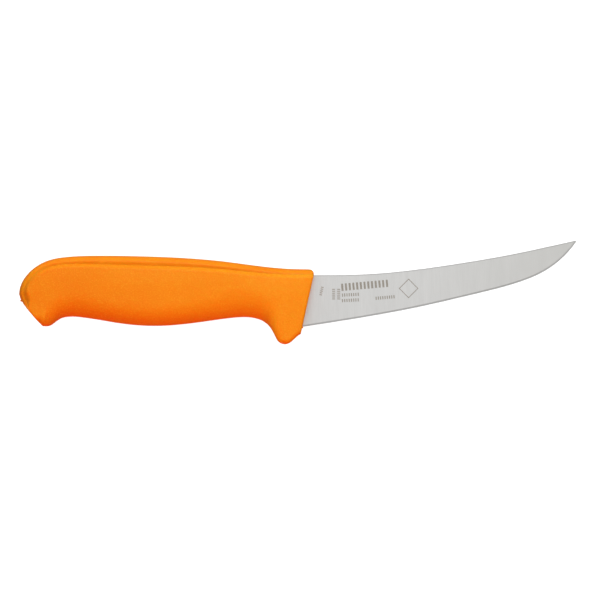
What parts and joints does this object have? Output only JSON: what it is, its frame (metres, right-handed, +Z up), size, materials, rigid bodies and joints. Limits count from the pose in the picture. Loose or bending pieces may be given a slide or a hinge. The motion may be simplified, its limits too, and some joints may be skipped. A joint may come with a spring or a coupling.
{
  "type": "boning knife",
  "caption": "Boning knife with a narrow upswept curved blade and a moulded two-part handle with a finger guard, belly swell and butt hook.",
  "frame": {"origin": "middle of the surface the knife lies on, under the centre of its bounding box, with the knife lying flat on its side", "axes": "+X along the knife towards the blade's tip, +Y towards the spine and the back of the handle, +Z up, across the blade's thickness"},
  "size_m": [0.2612, 0.0486, 0.021],
  "materials": {
    "blade_steel": "satin ground stainless with fine grinding lines across the blade",
    "core_plastic": "smooth matte orange moulded plastic",
    "grip_plastic": "fine-grained non-slip matte orange moulded plastic"
  },
  "bodies": {
    "root": {"blade": "blade_steel", "handle_core": "core_plastic", "handle_grip": "grip_plastic"}
  },
  "joints": []
}
